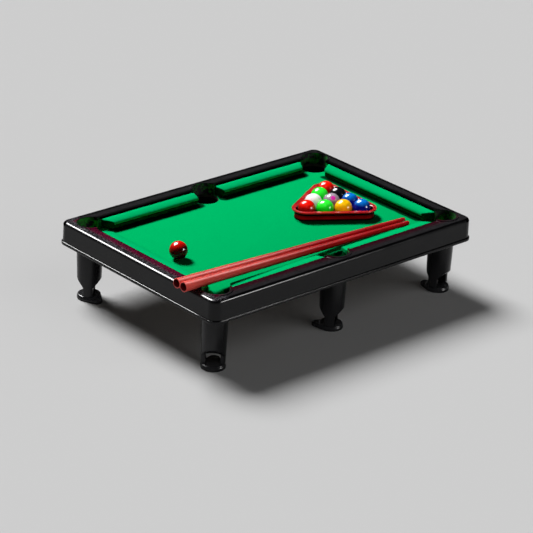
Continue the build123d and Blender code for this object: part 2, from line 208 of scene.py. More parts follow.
class Shader:
    """A small helper around one Principled material."""

    def __init__(self, name, colour, roughness):
        self.material = bpy.data.materials.new(name)
        self.material.use_nodes = True
        self.nodes = self.material.node_tree.nodes
        self.links = self.material.node_tree.links
        self.surface = self.nodes["Principled BSDF"]
        self.surface.inputs["Base Color"].default_value = (*colour, 1)
        self.surface.inputs["Roughness"].default_value = roughness
        self.place = self.nodes.new("ShaderNodeTexCoord").outputs["Object"]

    def set(self, socket, value):
        """Put a constant on the surface's own socket."""
        self.surface.inputs[socket].default_value = value

    def link(self, output, socket):
        """Let a node's output drive one socket of the surface."""
        self.links.new(output, self.surface.inputs[socket])

    def scaled(self, scale):
        """Object coordinates, stretched by a scale for each axis."""
        node = self.nodes.new("ShaderNodeMapping")
        node.inputs["Scale"].default_value = scale
        self.links.new(self.place, node.inputs["Vector"])
        return node.outputs["Vector"]

    def noise(self, scale, detail=3.0, vector=None, roughness=0.55):
        """Noise with a scale in features per metre."""
        node = self.nodes.new("ShaderNodeTexNoise")
        node.inputs["Scale"].default_value = scale
        node.inputs["Detail"].default_value = detail
        node.inputs["Roughness"].default_value = roughness
        self.links.new(vector or self.place, node.inputs["Vector"])
        return node.outputs["Fac"]

    def stretch(self, value, low, high, to_low=0.0, to_high=1.0):
        """Map a range of values to another one, and stop at its ends."""
        node = self.nodes.new("ShaderNodeMapRange")
        for socket, number in zip(("From Min", "From Max", "To Min", "To Max"), (low, high, to_low, to_high)):
            node.inputs[socket].default_value = number
        self.links.new(value, node.inputs["Value"])
        return node.outputs["Result"]

    def rise(self, value, low, high):
        """From 0 to 1 while a length goes from low to high. The limits are in millimetres."""
        return self.stretch(value, low * MM, high * MM)

    def fall(self, value, low, high, most=1.0):
        """From most to 0 while a length goes from low to high. The limits are in millimetres."""
        return self.stretch(value, low * MM, high * MM, most, 0.0)

    def math(self, operation, first, second=0.0):
        """Combine two values, each a number or a node's output."""
        node = self.nodes.new("ShaderNodeMath")
        node.operation = operation
        for socket, value in zip(node.inputs, (first, second)):
            if isinstance(value, (int, float)):
                socket.default_value = value
            else:
                self.links.new(value, socket)
        return node.outputs["Value"]

    def product(self, first, *others):
        """Multiply two or more values."""
        for other in others:
            first = self.math("MULTIPLY", first, other)
        return first

    def mix(self, share, first, second):
        """Mix two colours, each a tuple or a node's output."""
        node = self.nodes.new("ShaderNodeMix")
        node.data_type = "RGBA"
        self.links.new(share, node.inputs["Factor"])
        colours = [socket for socket in node.inputs if socket.type == "RGBA"]
        for socket, value in zip(colours, (first, second)):
            if isinstance(value, tuple):
                socket.default_value = (*value, 1)
            else:
                self.links.new(value, socket)
        return next(output for output in node.outputs if output.type == "RGBA")

    def axes(self):
        """The three object coordinates, in metres."""
        node = self.nodes.new("ShaderNodeSeparateXYZ")
        self.links.new(self.place, node.inputs["Vector"])
        return node.outputs

    def vector(self, operation, first, second):
        """Combine a vector output with another one, or with a point in millimetres."""
        node = self.nodes.new("ShaderNodeVectorMath")
        node.operation = operation
        self.links.new(first, node.inputs[0])
        if isinstance(second, (tuple, Vector)):
            node.inputs[1].default_value = Vector(second) * MM
        else:
            self.links.new(second, node.inputs[1])
        return node.outputs

    def distance(self, first, second):
        """Distance in metres between a vector output and another one, or a point in millimetres."""
        return self.vector("DISTANCE", first, second)["Value"]

    def clamped(self, vector, low, high):
        """The nearest point of an upright box to a vector output."""
        above = self.vector("MAXIMUM", vector, low)["Vector"]
        return self.vector("MINIMUM", above, high)["Vector"]

    def folded(self):
        """Object coordinates folded into one quarter of the table, on the floor plane."""
        node = self.nodes.new("ShaderNodeCombineXYZ")
        for axis, value in zip("XY", self.axes()):
            self.links.new(self.math("ABSOLUTE", value), node.inputs[axis])
        return node.outputs["Vector"]

    def bump(self, height, depth):
        """Bump with a depth in millimetres."""
        node = self.nodes.new("ShaderNodeBump")
        node.inputs["Strength"].default_value = 1.0
        node.inputs["Distance"].default_value = depth * MM
        self.links.new(height, node.inputs["Height"])
        self.link(node.outputs["Normal"], "Normal")


def felt_shader(name, colour):
    """Short-pile felt: fine fibres, a slow unevenness and a soft sheen. Gives the shader and its colour."""
    shade = Shader(name, colour, 0.95)
    shade.set("Specular IOR Level", 0.0)
    shade.set("Sheen Weight", 0.015)
    shade.set("Sheen Roughness", 0.4)
    shade.set("Sheen Tint", (0.0, 1.0, 0.45, 1))
    fibres = shade.noise(2600, 4.0, shade.scaled((1.0, 0.55, 1.0)), 0.7)
    crossing = shade.noise(1900, 3.0, shade.scaled((0.5, 1.0, 1.0)), 0.7)
    pile = shade.math("ADD", fibres, crossing)
    patches = shade.noise(26, 3.0)
    darker = tuple(part * 0.82 for part in colour)
    lighter = tuple(min(1.0, part * 1.10) for part in colour)
    grain = shade.mix(shade.stretch(pile, 0.75, 1.25), darker, lighter)
    shade.bump(pile, 0.10)
    return shade, shade.mix(shade.stretch(patches, 0.35, 0.65, 0.0, 0.4), grain, colour)


FELT_SHADOW = (0.0, 0.022, 0.006)      # felt in deep shade


def bed_material():
    """The bed's felt, with a painted shadow in a narrow band below the nose of each cushion."""
    shade, cloth = felt_shader("bed_felt", (0.0, 0.515, 0.145))
    folded = shade.folded()
    nose_x = BED_X - CUSHION
    nose_y = BED_Y - CUSHION
    side = ((SIDE_NOSE[0], nose_y, 0), (SIDE_NOSE[1], nose_y, 0))
    end = ((nose_x, 0, 0), (nose_x, END_NOSE, 0))
    from_side, from_end = (shade.distance(folded, shade.clamped(folded, *span)) for span in (side, end))
    nearest = shade.math("MINIMUM", from_side, shade.math("ADD", from_end, END_SHADOW_TRIM * MM))
    uneven = shade.product(shade.noise(160, 3.0), 2.0 * MM)
    # The dark band is painted shadow, where the cushions shade the felt.
    band = shade.fall(shade.math("SUBTRACT", nearest, uneven), 3.5, 5.5, 0.96)
    shade.link(shade.mix(band, cloth, FELT_SHADOW), "Base Color")
    return shade.material


def cushion_material():
    """The same felt on the cushions, with painted shade: black in the crease below the nose, dark from there
    to the bed, and a little darker below the top ridge.
    """
    shade, cloth = felt_shader("cushion_felt", (0.0, 0.58, 0.18))
    z = shade.axes()[2]
    uneven = shade.product(shade.noise(900, 3.0), 0.8 * MM)
    height = shade.math("ADD", z, uneven)
    # Painted shade: the cloth below the top ridge is darker.
    slope = shade.rise(z, BED_Z + 7.5, BED_Z + 8.5)
    across = shade.mix(slope, (0.0, 0.80, 0.76), (1.0, 1.0, 1.0))
    cloth = shade.vector("MULTIPLY", cloth, across)["Vector"]
    # Painted shade in the crease below the nose and on the lower face.
    below = shade.fall(height, BED_Z + 4.6, BED_Z + 5.4, 0.93)
    lower = shade.fall(height, BED_Z + 3.2, BED_Z + 4.0, 0.13)
    shade.link(shade.mix(shade.math("SUBTRACT", below, lower), cloth, FELT_SHADOW), "Base Color")
    return shade.material


def cushion_shaded_end_material():
    """Felt on the ends that face away from the light, beside the pockets: a dark copy of the felt, as painted
    shade.
    """
    shade, cloth = felt_shader("cushion_felt_end_painted_shade", (0.0, 0.060, 0.016))
    shade.link(cloth, "Base Color")
    return shade.material


def moulded_shader(name, colour, level, roughness, roughest):
    """Moulded plastic: fine grain and uneven gloss. Gives the shader and its faint flow marks."""
    shade = Shader(name, colour, roughness)
    shade.set("Specular IOR Level", level)
    flow = shade.noise(38, 4.0, shade.scaled((1.0, 1.0, 2.2)))
    shade.link(shade.stretch(flow, 0.3, 0.7, roughness, roughest), "Roughness")
    shade.bump(shade.noise(1500, 3.0), 0.02)
    return shade, shade.stretch(flow, 0.3, 0.7)


def plastic_material(name, colour, roughness, level):
    """Moulded plastic in one colour."""
    shade, marks = moulded_shader(name, colour, level, roughness * 0.85, roughness * 1.2)
    darker = tuple(part * 0.86 for part in colour)
    lighter = tuple(min(1.0, part * 1.12) for part in colour)
    shade.link(shade.mix(marks, darker, lighter), "Base Color")
    return shade.material


def cue_material():
    """Cue plastic, with a painted sheen that makes it paler and softer in colour towards the butt."""
    shade, marks = moulded_shader("red_plastic", (0.55, 0.03, 0.02), 0.20, 0.26, 0.36)
    # Painted sheen: pale towards the butt, fading to deep red towards the tip.
    along = shade.rise(shade.axes()[0], *CUE_SHEEN_SPAN)
    lighter = shade.mix(along, (0.68, 0.080, 0.062), (0.40, 0.001, 0.004))
    darker = shade.mix(along, (0.52, 0.050, 0.040), (0.31, 0.001, 0.003))
    shade.link(shade.mix(marks, darker, lighter), "Base Color")
    return shade.material


def past_bed(shade):
    """How far a point lies beyond the edge of the bed, in metres."""
    x, y, _ = shade.axes()
    past_x = shade.math("SUBTRACT", shade.math("ABSOLUTE", x), BED_X * MM)
    past_y = shade.math("SUBTRACT", shade.math("ABSOLUTE", y), BED_Y * MM)
    return shade.math("MAXIMUM", past_x, past_y)


def rail_paint(shade, flow, past):
    """Black walls, grey rail tops with painted shade in black bands along their edges, and a speckled maroon
    beside the bed on the near rails.
    """
    x, y, z = shade.axes()
    top = shade.rise(z, RAIL_Z - 1.0, RAIL_Z - 0.3)
    left = shade.fall(x, -BED_X, -BED_X + 1)
    front = shade.fall(y, -BED_Y, -BED_Y + 1)
    speckle = shade.noise(780, 2.0, roughness=0.6)
    mottle = shade.stretch(speckle, 0.40, 0.60)

    walls = shade.mix(shade.stretch(flow, 0.3, 0.7), (0.0085, 0.0085, 0.0095), (0.0125, 0.0125, 0.0135))
    strip = shade.mix(mottle, (0.012, 0.012, 0.013), (0.024, 0.022, 0.025))
    # Painted shade: black bands along the inner and outer edges of the rail tops, the outer ones wider on the
    # far rails.
    inner = shade.rise(past, 3.0, 5.0)
    far_edge_shade = shade.fall(past, RAIL - 6.2, RAIL - 4.6)
    near_edge_shade = shade.fall(past, RAIL - 3.2, RAIL - 2.0)
    near = shade.math("MAXIMUM", left, front)
    outer = shade.math("MAXIMUM", far_edge_shade, shade.product(near_edge_shade, near))
    rail = shade.mix(shade.product(inner, outer), (0.0008, 0.0008, 0.0010), strip)
    plain = shade.mix(top, walls, rail)

    front_share = shade.product(shade.fall(past, 4.0, 9.0), top, front)
    left_share = shade.product(shade.fall(past, 6.5, 9.5), top, left)
    front_tint = shade.mix(mottle, (0.016, 0.0005, 0.004), (0.046, 0.001, 0.010))
    left_tint = shade.mix(mottle, (0.034, 0.0005, 0.009), (0.150, 0.001, 0.032))
    tinted = shade.mix(left_share, shade.mix(front_share, plain, front_tint), left_tint)
    specks = shade.stretch(speckle, 0.50, 0.62)
    speck_share = shade.product(specks, shade.rise(past, 5.0, 9.0), top, left, 0.8)
    return shade.mix(speck_share, tinted, (0.13, 0.12, 0.14))


def pocket_distance(shade):
    """Distance from the nearest pocket's axis, in metres."""
    folded = shade.folded()
    corner = POCKETS["back_right"]
    to_corner = shade.distance(folded, (corner.x, corner.y, 0))
    to_middle = shade.distance(folded, (0, POCKETS["back_middle"].y, 0))
    return shade.math("MINIMUM", to_corner, to_middle)


def frame_material():
    """Glossy black moulding, with green-black pocket walls and green cheeks behind the cushions' ends."""
    shade = Shader("frame_plastic", (0.010, 0.010, 0.011), 0.2)
    shade.set("Specular IOR Level", 0.17)
    x, _, z = shade.axes()
    flow = shade.noise(30, 4.0)
    past = past_bed(shade)
    painted = rail_paint(shade, flow, past)

    nearest = pocket_distance(shade)
    inside = shade.fall(nearest, POCKET_R + 0.10, POCKET_R + 0.16)
    wall_share = shade.product(inside, shade.fall(z, RAIL_Z - 0.2, RAIL_Z + 0.1))
    blotches = shade.noise(150, 3.0, roughness=0.6)
    leftwards = shade.stretch(x, -BED_X * MM, BED_X * MM, 1.0, 0.45)
    green_share = shade.product(shade.stretch(blotches, 0.44, 0.62), leftwards)
    wall = shade.mix(green_share, (0.001, 0.006, 0.004), (0.015, 0.70, 0.030))
    lined = shade.mix(wall_share, painted, wall)

    cheek = shade.fall(nearest, POCKET_R + 7.0, POCKET_R + 8.5)
    behind = shade.fall(past, 0.5, 0.8)
    low_enough = shade.fall(z, RAIL_Z - 1.5, RAIL_Z - 1.1)
    outside = shade.math("SUBTRACT", 1.0, inside)
    cheek_share = shade.product(cheek, behind, low_enough, outside)
    shade.link(shade.mix(cheek_share, lined, (0.002, 0.26, 0.07)), "Base Color")

    gloss = shade.stretch(flow, 0.3, 0.7, 0.15, 0.22)
    shade.link(shade.math("ADD", gloss, shade.product(wall_share, 0.55)), "Roughness")
    shade.bump(shade.noise(1700, 3.0), 0.006)
    return shade.material


def finish_frame():
    """The glossy moulding, with dull black lips beside the cushions and along the far edges, painted shade
    without gloss.
    """
    frame_shell = NODES["frame_shell"]
    give(frame_shell, frame_material())
    # Painted shade: the lips are near black and without gloss.
    lip_painted_shade = plastic_material("frame_lip_painted_shade", (0.0012, 0.0010, 0.0012), 0.6, level=0.0)
    frame_shell.data.materials.append(lip_painted_shade)
    for face in frame_shell.data.polygons:
        spot = face.center / MM
        past = max(abs(spot.x) - BED_X, abs(spot.y) - BED_Y)
        rounded = spot.z > RAIL_Z - 3.0 and 0.02 < face.normal.z < 0.999
        far_edge = past > RAIL - 3.0 and (spot.y > BED_Y or spot.x > BED_X)
        if rounded and (-0.3 < past < LIP or far_edge):
            face.material_index = 1


def ball_material(name, colour, shaded_colour, shade_low_end, spot=None):
    """Polished ball: one clear colour, with painted shade that deepens it towards the felt, and faint swirls
    in the resin.
    """
    shade = Shader(name, colour, 0.16)
    shade.set("Specular IOR Level", 0.24)
    swirl = shade.noise(190, 4.0, shade.scaled((1.0, 1.6, 0.8)), 0.6)
    lighter = tuple(min(1.0, part * 1.08) for part in colour)
    # Painted shade: the colour turns to its shaded copy low on the ball.
    height = shade.rise(shade.axes()[2], BED_Z + shade_low_end, BED_Z + shade_low_end + 3.5)
    upper = shade.mix(shade.stretch(swirl, 0.35, 0.65), colour, lighter)
    body = shade.mix(height, shaded_colour, upper)
    if spot:
        place, radius, tint = spot
        share = shade.fall(shade.distance(shade.place, place), radius * 0.75, radius, 0.92)
        body = shade.mix(share, body, tint)
    shade.link(body, "Base Color")
    shade.link(shade.stretch(swirl, 0.3, 0.7, 0.14, 0.19), "Roughness")
    shade.bump(shade.noise(900, 2.0), 0.004)
    return shade.material


def rack_wall_material():
    """The rack's wall: dull red, with painted shade that makes it almost black below the rim and at its foot.
    """
    shade = Shader("rack_wall", (0.30, 0.001, 0.003), 0.5)
    shade.set("Specular IOR Level", 0.03)
    foot = box("rack")[0].z
    height = shade.math("SUBTRACT", shade.axes()[2], foot * MM)
    flow = shade.noise(60, 4.0)
    wall = shade.mix(shade.stretch(flow, 0.3, 0.7), (0.24, 0.0003, 0.001), (0.40, 0.0006, 0.003))
    # Painted shade below the rim's overhang and at the foot.
    shade_under_rim = shade.rise(height, 4.4, 5.6)
    shade_at_foot = shade.fall(height, 1.2, 2.2)
    shaded = shade.mix(shade.math("MAXIMUM", shade_under_rim, shade_at_foot), wall, (0.006, 0.0002, 0.0003))
    shade.link(shaded, "Base Color")
    shade.bump(shade.noise(1500, 3.0), 0.02)
    return shade.material


def board_material():
    """Raw pressed board: packed chips and dust."""
    shade = Shader("board", (0.16, 0.12, 0.085), 0.85)
    shade.set("Specular IOR Level", 0.2)
    chips = shade.noise(420, 5.0, shade.scaled((1.0, 0.5, 1.0)), 0.7)
    dust = shade.noise(2600, 2.0)
    packed = shade.mix(shade.stretch(chips, 0.35, 0.65), (0.055, 0.046, 0.038), (0.15, 0.128, 0.105))
    shade.link(packed, "Base Color")
    shade.bump(shade.math("ADD", chips, dust), 0.06)
    return shade.material


def steel_material():
    """Zinc plate with fine turning marks and dull patches."""
    shade = Shader("steel", (0.6, 0.6, 0.62), 0.35)
    shade.set("Metallic", 1.0)
    marks = shade.noise(1400, 3.0, shade.scaled((1.0, 1.0, 3.0)))
    patches = shade.noise(260, 3.0)
    zinc = shade.mix(shade.stretch(patches, 0.35, 0.65), (0.45, 0.45, 0.46), (0.68, 0.68, 0.70))
    shade.link(zinc, "Base Color")
    shade.link(shade.stretch(marks, 0.3, 0.7, 0.25, 0.45), "Roughness")
    shade.bump(marks, 0.01)
    return shade.material


def give(obj, material):
    """Put one material on an object's every slot."""
    obj.data.materials.clear()
    obj.data.materials.append(material)


# ---------------------------------------------------------------- mesh helpers

def clean(mesh, sharp=40.0):
    """Join equal points, turn every face outwards and shade it smooth, apart from sharp edges."""
    work = bmesh.new()
    work.from_mesh(mesh)
    bmesh.ops.remove_doubles(work, verts=work.verts, dist=0.002 * MM)
    bmesh.ops.dissolve_degenerate(work, edges=work.edges, dist=0.0005 * MM)
    bmesh.ops.recalc_face_normals(work, faces=work.faces)
    work.to_mesh(mesh)
    work.free()
    mesh.shade_smooth()
    mesh.set_sharp_from_angle(angle=radians(sharp))


def add_piece(name, mesh, node, slot, material):
    """Put a finished mesh in the scene in place of a CAD node."""
    piece = bpy.data.objects.new(name, mesh)
    bpy.context.scene.collection.objects.link(piece)
    give(piece, material)
    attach(piece, NODES[node]["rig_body"])
    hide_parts(node)
    return piece


def skin(name, rings, sharp, loop=False, caps=False):
    """A mesh over rings of equally many points in millimetres. loop joins the last ring to the first."""
    count = len(rings[0])
    points = [Vector(point) * MM for ring in rings for point in ring]
    faces = []
    last = len(rings) if loop else len(rings) - 1
    for row in range(last):
        here = row * count
        there = (row + 1) % len(rings) * count
        for step in range(count):
            after = (step + 1) % count
            faces.append((here + step, here + after, there + after, there + step))
    if caps:
        faces.append(tuple(range(count)))
        faces.append(tuple(reversed(range(len(points) - count, len(points)))))
    mesh = bpy.data.meshes.new(name)
    mesh.from_pydata(points, [], faces)
    clean(mesh, sharp)
    return mesh


def lathe(name, profile, base, axis, steps, sharp):
    """A turned mesh. The profile holds distances along the axis and radii."""
    turn = Vector(axis).to_track_quat("Z", "Y").to_matrix()
    rings = []
    for along, radius in profile:
        angles = [2 * pi * step / steps for step in range(steps)]
        rings.append([base + turn @ Vector((radius * cos(a), radius * sin(a), along)) for a in angles])
    return skin(name, rings, sharp)


# ---------------------------------------------------------------- felt on the bed

def bite(centre, first, last, steps=28):
    """Points of an arc around a pocket, clockwise from one point of the felt's edge to another."""
    start = atan2(first[1] - centre.y, first[0] - centre.x)
    end = atan2(last[1] - centre.y, last[0] - centre.x)
    sweep = (end - start) % (2 * pi) - 2 * pi
    angles = [start + sweep * step / steps for step in range(steps + 1)]
    return [(centre.x + POCKET_R * cos(a), centre.y + POCKET_R * sin(a)) for a in angles]


def felt_outline():
    """The cut of the felt: a rectangle with a round bite at every pocket, counterclockwise."""
    edge_x, edge_y = FELT_HIGH.x, FELT_HIGH.y
    corner = POCKETS["back_right"]
    middle_y = POCKETS["back_middle"].y
    corner_x = corner.x - sqrt(POCKET_R ** 2 - (edge_y - corner.y) ** 2)
    corner_y = corner.y - sqrt(POCKET_R ** 2 - (edge_x - corner.x) ** 2)
    half = sqrt(POCKET_R ** 2 - (edge_y - middle_y) ** 2)
    bites = [
        ("back_right", (edge_x, corner_y), (corner_x, edge_y)),
        ("back_middle", (half, edge_y), (-half, edge_y)),
        ("back_left", (-corner_x, edge_y), (-edge_x, corner_y)),
        ("front_left", (-edge_x, -corner_y), (-corner_x, -edge_y)),
        ("front_middle", (-half, -edge_y), (half, -edge_y)),
        ("front_right", (corner_x, -edge_y), (edge_x, -corner_y)),
    ]
    return [point for place, first, last in bites for point in bite(POCKETS[place], first, last)]


def make_felt(material):
    """One thin sheet with softly rounded edges."""
    outline = felt_outline()
    thick = FELT_HIGH.z - FELT_LOW.z
    rounding = 0.22
    curve = bpy.data.curves.new("felt", "CURVE")
    curve.dimensions = "2D"
    curve.fill_mode = "BOTH"
    curve.extrude = (thick / 2 - rounding) * MM
    curve.bevel_depth = rounding * MM
    curve.bevel_resolution = 2
    curve.offset = -rounding * MM
    spline = curve.splines.new("POLY")
    spline.points.add(len(outline) - 1)
    for point, (x, y) in zip(spline.points, outline):
        point.co = (x * MM, y * MM, 0, 1)
    spline.use_cyclic_u = True
    holder = bpy.data.objects.new("felt_curve", curve)
    bpy.context.scene.collection.objects.link(holder)
    depsgraph = bpy.context.evaluated_depsgraph_get()
    mesh = bpy.data.meshes.new_from_object(holder.evaluated_get(depsgraph))
    bpy.data.objects.remove(holder)
    mesh.transform(Matrix.Translation((0, 0, (FELT_LOW.z + thick / 2) * MM)))
    clean(mesh)
    felt = add_piece("bed_felt_cloth", mesh, "bed_felt", "felt", material)
    pairs = zip(outline, outline[1:] + outline[:1])
    area = sum(x0 * y1 - x1 * y0 for (x0, y0), (x1, y1) in pairs) / 2 * MM * MM


# ---------------------------------------------------------------- cushions

# Cross-section of a cushion: distance from the rail, and height above the bed
CUSHION_PROFILE = [
    (0.0, 0.15),
    (0.0, 7.9),
    (0.15, 8.35),
    (0.6, 8.55),
    (4.6, 8.32),
    (8.6, 7.85),
    (10.2, 7.45),
    (11.0, 6.85),
    (11.2, 6.2),
    (11.15, 5.7),
    (10.8, 5.2),
    (10.1, 4.85),
    (9.3, 4.6),
    (8.9, 4.25),
    (9.0, 3.85),
    (9.45, 3.5),
    (9.5, 3.0),
    (9.0, 1.0),
    (8.7, 0.35),
    (8.2, 0.12),
]
CUSHION_MIDDLE = (5.4, 4.4)
END_ROUND = 1.0                        # rounding of the ends
END_OFFSETS = [0.0, 0.12, 0.35, 0.65]  # places of the sections within that rounding
SECTION_STEP = 3.0                     # distance between the sections along a cushion
UNEVEN = 0.10                          # how far the cloth swells or sinks
SHADE_PAINTED_ENDS = ("cushion_back_left", "cushion_back_right", "cushion_right_end")


def cushion_point(spot, inset, swell):
    """A point of the cross-section, drawn in towards its middle and swollen a little."""
    to_middle = Vector(CUSHION_MIDDLE) - Vector(spot)
    return Vector(spot) + to_middle.normalized() * (inset - swell)


def cushion_slants(centre, lengthwise):
    """How much shorter a cushion is at its nose than at the rail, at its low end and at its high end."""
    slants = [CORNER_SLANT, CORNER_SLANT]
    if lengthwise == 0:
        slants[0 if centre.x > 0 else 1] = MIDDLE_SLANT
    return slants


def cushion_stations(length):
    """Sections along a cushion: the end they belong to, the distance from it, and the share of the body."""
    steps = int(length / SECTION_STEP)
    stations = [("low", offset, 0) for offset in END_OFFSETS]
    stations += [("body", END_ROUND, step / steps) for step in range(steps + 1)]
    stations += [("high", offset, 0) for offset in reversed(END_OFFSETS)]
    return stations


def station_place(station, start, stop):
    """The place of a section between the two ends of the cushion."""
    end, offset, share = station
    if end == "low":
        return start + offset
    if end == "high":
        return stop - offset
    return start + END_ROUND + (stop - start - 2 * END_ROUND) * share


def cushion_rings(low, high, lengthwise):
    """The cross-section at every station, with rounded slanted ends and slightly uneven cloth."""
    centre = (low + high) / 2
    crosswise = 1 - lengthwise
    inward = -1 if centre[crosswise] > 0 else 1
    rail = high[crosswise] if inward < 0 else low[crosswise]
    low_slant, high_slant = cushion_slants(centre, lengthwise)
    rings = []
    for station in cushion_stations(high[lengthwise] - low[lengthwise]):
        offset = station[1]
        inset = END_ROUND - sqrt(END_ROUND ** 2 - (END_ROUND - offset) ** 2)
        ring = []
        for spot in CUSHION_PROFILE:
            start = low[lengthwise] + low_slant * spot[0] / CUSHION
            stop = high[lengthwise] - high_slant * spot[0] / CUSHION
            along = station_place(station, start, stop)
            swell = 0.0
            if spot[0] > 0.1:
                swell = UNEVEN * noise.noise(Vector((along * 0.09, spot[1] * 0.3, rail)))
            across, up = cushion_point(spot, inset, swell)
            place = Vector((0, 0, BED_Z + up))
            place[lengthwise] = along
            place[crosswise] = rail + inward * across
            ring.append(place)
        rings.append(ring)
    return rings


def make_cushion(name, material, shaded_end_material):
    """A felt-covered strip, with painted shade on the ends that face away from the light."""
    low, high = box(name)
    lengthwise = 0 if high.x - low.x > high.y - low.y else 1
    mesh = skin(f"{name}_cloth", cushion_rings(low, high, lengthwise), 75.0, caps=True)
    piece = add_piece(f"{name}_cloth", mesh, name, "cushion_felt", material)
    mesh.materials.append(shaded_end_material)
    for face in mesh.polygons:
        if face.normal[lengthwise] < -0.6 and name in SHADE_PAINTED_ENDS:
            face.material_index = 1


# ---------------------------------------------------------------- balls

# A colour for each slot, and the same colour in painted shade low on the ball
BALL_COLOURS = {
    "ball_red": ((0.95, 0.006, 0.001), (0.30, 0.001, 0.001)),
    "ball_green": ((0.03, 0.98, 0.04), (0.002, 0.74, 0.01)),
    "ball_yellow": ((1.0, 0.50, 0.002), (1.0, 0.38, 0.002)),
    "ball_blue": ((0.001, 0.17, 0.62), (0.001, 0.004, 0.20)),
    "ball_white": ((0.93, 0.88, 0.90), (0.62, 0.56, 0.60)),
    "ball_silver": ((0.36, 0.29, 0.35), (0.14, 0.07, 0.12)),
    "ball_black": ((0.004, 0.004, 0.006), (0.002, 0.002, 0.003)),
}
SHADE_LOW_END = 10.3                         # height above the bed where the painted shade low on a ball begins to fade
BLUE_SHADE_LOW_END = 11.6
SPOT_R = 2.6
SPOT_COLOUR = (0.78, 0.0, 0.45)
SPOT_WAY = Vector((-0.32, -0.57, 0.75)).normalized()      # from the silver ball's centre to its spot


def make_ball(name, number, slot, material):
    """A moulded ball with a fine seam around it and a flat gate mark at one end."""
    seam_width = 0.9       # in degrees from the seam, like the gate mark and the levels
    gate = 85.5
    beside_seam = [-3, -2, -1.4, -0.9, -0.5, 0, 0.5, 0.9, 1.4, 2, 3]
    levels = list(range(-90, -3, 5)) + beside_seam + list(range(5, 91, 5))
    profile = []
    for level in levels:
        radius = BALL_R - SEAM + SEAM * exp(-(level / seam_width) ** 2)
        if level > gate:
            radius -= SEAM
        profile.append((radius * sin(radians(level)), radius * cos(radians(level))))
    spin = 2.4 * number
    axis = Vector((sin(spin), cos(spin), 0.7 + 0.5 * sin(1.7 * number)))
    mesh = lathe(f"{name}_moulded", profile, middle(name), axis, 72, 60.0)
    add_piece(f"{name}_moulded", mesh, name, slot, material)


def paint_balls():
    """A material for each colour of ball. The silver one has a round spot."""
    paints = {}
    for slot, (colour, shaded_colour) in BALL_COLOURS.items():
        spot = None
        if slot == "ball_silver":
            spot = (middle("ball_6") + SPOT_WAY * BALL_R, SPOT_R, SPOT_COLOUR)
        shade_low_end = BLUE_SHADE_LOW_END if slot == "ball_blue" else SHADE_LOW_END
        paints[slot] = ball_material(slot, colour, shaded_colour, shade_low_end, spot)
    return paints


def make_balls():
    """All balls, each in the colour of its slot."""
    slots = {part["node"]: part["material_slot"] for part in frame["record"]["subparts"]}
    paints = paint_balls()
    for number, name in enumerate(BALLS):
        make_ball(name, number, slots[name], paints[slots[name]])


# ---------------------------------------------------------------- rack

RACK_INSIDE = 8.95                     # ball centres to the inside of the rack's sides
RACK_WALL_R = 7.6                      # inside corners of the wall
RACK_RIM_OUT = 13.2                    # ball centres to the edge of the rim
RACK_RIM_R = 13.0
RACK_WALL_OUT = 10.1
RACK_WALL_TOP = 7.4                    # below this the wall's own material begins
RACK_WAVE = 0.10                       # how far the sides wander
RACK_ARC_STEPS = 22                    # faces around a corner
RACK_SIDE_STEPS = 36                   # faces along a side
# Cross-section of the rack: distance out from the triangle of ball centres, and height above its foot
RACK_PROFILE = [
    (9.15, 0.0),
    (8.97, 0.2),
    (8.95, 1.0),
    (8.95, 8.3),
    (9.05, 8.75),
    (9.35, 8.97),
    (10.2, 8.95),
    (11.2, 8.75),
    (12.0, 8.8),
    (12.6, 9.0),
    (13.0, 8.95),
    (13.2, 8.6),
    (13.2, 8.1),
    (13.0, 7.65),
    (12.6, 7.5),
    (11.0, 7.55),
    (10.35, 7.45),
    (10.1, 7.1),
    (10.1, 0.9),
    (10.08, 0.2),
    (9.9, 0.0),
]


def corner_radius(grow):
    """Radius of the rack's corners at a distance out from the ball centres."""
    if grow <= RACK_WALL_OUT:
        return RACK_WALL_R + grow - RACK_INSIDE
    wall_r = RACK_WALL_R + RACK_WALL_OUT - RACK_INSIDE
    return wall_r + (RACK_RIM_R - wall_r) * (grow - RACK_WALL_OUT) / (RACK_RIM_OUT - RACK_WALL_OUT)


def rack_arcs(corners, centre, grow, height):
    """The three rounded corners at one height, at a distance out from the ball centres."""
    radius = corner_radius(grow)
    arcs = []
    for corner in corners:
        out = Vector((corner.x - centre.x, corner.y - centre.y, 0)).normalized()
        hub = Vector((corner.x, corner.y, height)) + out * 2 * (grow - radius)
        facing = atan2(out.y, out.x)
        angles = [facing + radians(-60 + 120 * step / RACK_ARC_STEPS) for step in range(RACK_ARC_STEPS + 1)]
        arcs.append([hub + radius * Vector((cos(a), sin(a), 0)) for a in angles])
    return arcs


def rack_side(index, end, start, centre, rim):
    """Points of a side between two corners, a little wavy. The rim also waves up and down."""
    away = (end - centre).normalized()
    outwards = Vector((away.x, away.y, 0))
    points = []
    for step in range(1, RACK_SIDE_STEPS):
        point = end.lerp(start, step / RACK_SIDE_STEPS)
        strength = RACK_WAVE * noise.noise(Vector((step * 0.22, index * 9.0, 0)))
        wave = strength * sin(pi * step / RACK_SIDE_STEPS)
        points.append(point + outwards * wave + UP * wave * 0.8 * rim)
    return points


